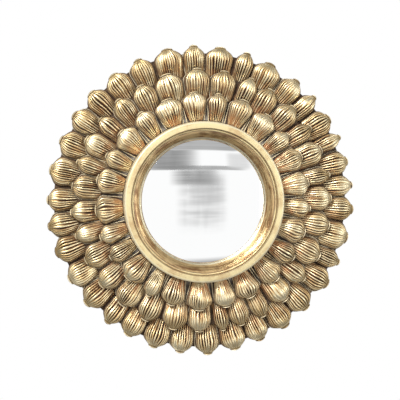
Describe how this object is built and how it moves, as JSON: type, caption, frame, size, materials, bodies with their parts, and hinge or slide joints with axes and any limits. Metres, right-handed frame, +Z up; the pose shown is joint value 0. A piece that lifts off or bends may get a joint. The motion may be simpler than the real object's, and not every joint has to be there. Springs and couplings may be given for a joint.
{
  "type": "convex wall mirror",
  "caption": "Round convex mirror in a stepped gilt frame of overlapping ribbed petals, with a panelled back and a hanging ring.",
  "frame": {"origin": "on the mirror's axis, in the plane of the wall that the rubber bumpers touch", "axes": "+Z up, +Y into the wall, +X to the right as seen from the room, so the mirror looks along -Y"},
  "size_m": [0.4939, 0.06, 0.4958],
  "materials": {
    "gilt_petals": "moulded composition, gilded over red bole and rubbed back, brown in the grooves",
    "gilt_rings": "turned wood, pale antique gilding",
    "front_ground": "fibreboard painted grey-brown",
    "board": "fibreboard, stained dark",
    "mirror_glass": "silvered convex glass",
    "foam": "closed-cell foam",
    "hardboard": "bare hardboard",
    "zinc_steel": "zinc plated",
    "rubber": "black rubber"
  },
  "bodies": {
    "frame": {"back_board": "board", "back_panel": "hardboard", "bumper_screws": "zinc_steel", "button_screws": "zinc_steel", "front_board": "front_ground", "hanger_screws": "zinc_steel", "hanger_strap": "zinc_steel", "inner_petals_01": "gilt_petals", "inner_petals_02": "gilt_petals", "inner_petals_03": "gilt_petals", "inner_petals_04": "gilt_petals", "inner_petals_05": "gilt_petals", "inner_petals_06": "gilt_petals", "inner_petals_07": "gilt_petals", "inner_petals_08": "gilt_petals", "inner_petals_09": "gilt_petals", "inner_petals_10": "gilt_petals", "inner_petals_11": "gilt_petals", "inner_petals_12": "gilt_petals", "middle_board": "board", "middle_petals_01": "gilt_petals", "middle_petals_02": "gilt_petals", "middle_petals_03": "gilt_petals", "middle_petals_04": "gilt_petals", "middle_petals_05": "gilt_petals", "middle_petals_06": "gilt_petals", "middle_petals_07": "gilt_petals", "middle_petals_08": "gilt_petals", "middle_petals_09": "gilt_petals", "middle_petals_10": "gilt_petals", "middle_petals_11": "gilt_petals", "middle_petals_12": "gilt_petals", "mirror_glass": "mirror_glass", "outer_petals_01": "gilt_petals", "outer_petals_02": "gilt_petals", "outer_petals_03": "gilt_petals", "outer_petals_04": "gilt_petals", "outer_petals_05": "gilt_petals", "outer_petals_06": "gilt_petals", "outer_petals_07": "gilt_petals", "outer_petals_08": "gilt_petals", "outer_petals_09": "gilt_petals", "outer_petals_10": "gilt_petals", "outer_petals_11": "gilt_petals", "outer_petals_12": "gilt_petals", "packing_ring": "foam", "rim_ring": "gilt_rings", "sight_slip": "gilt_rings", "wall_bumpers": "rubber"},
    "turn_button_1": {"turn_button_1": "zinc_steel"},
    "turn_button_2": {"turn_button_2": "zinc_steel"},
    "turn_button_3": {"turn_button_3": "zinc_steel"},
    "turn_button_4": {"turn_button_4": "zinc_steel"},
    "hanger_ring": {"hanger_ring": "zinc_steel"}
  },
  "joints": [
    {"name": "turn_button_1_turn", "type": "hinge", "parent": "frame", "child": "turn_button_1", "pos_m": [0.07973, -0.0093, 0.07973], "axis": [0, 1, 0], "continuous": true},
    {"name": "turn_button_2_turn", "type": "hinge", "parent": "frame", "child": "turn_button_2", "pos_m": [0.07973, -0.0093, -0.07973], "axis": [0, 1, 0], "continuous": true},
    {"name": "turn_button_3_turn", "type": "hinge", "parent": "frame", "child": "turn_button_3", "pos_m": [-0.07973, -0.0093, -0.07973], "axis": [0, 1, 0], "continuous": true},
    {"name": "turn_button_4_turn", "type": "hinge", "parent": "frame", "child": "turn_button_4", "pos_m": [-0.07973, -0.0093, 0.07973], "axis": [0, 1, 0], "continuous": true},
    {"name": "hanger_ring_swing", "type": "hinge", "parent": "frame", "child": "hanger_ring", "pos_m": [0, -0.0076, 0.18], "axis": [-1, 0, 0], "range_deg": [0, 165]}
  ]
}
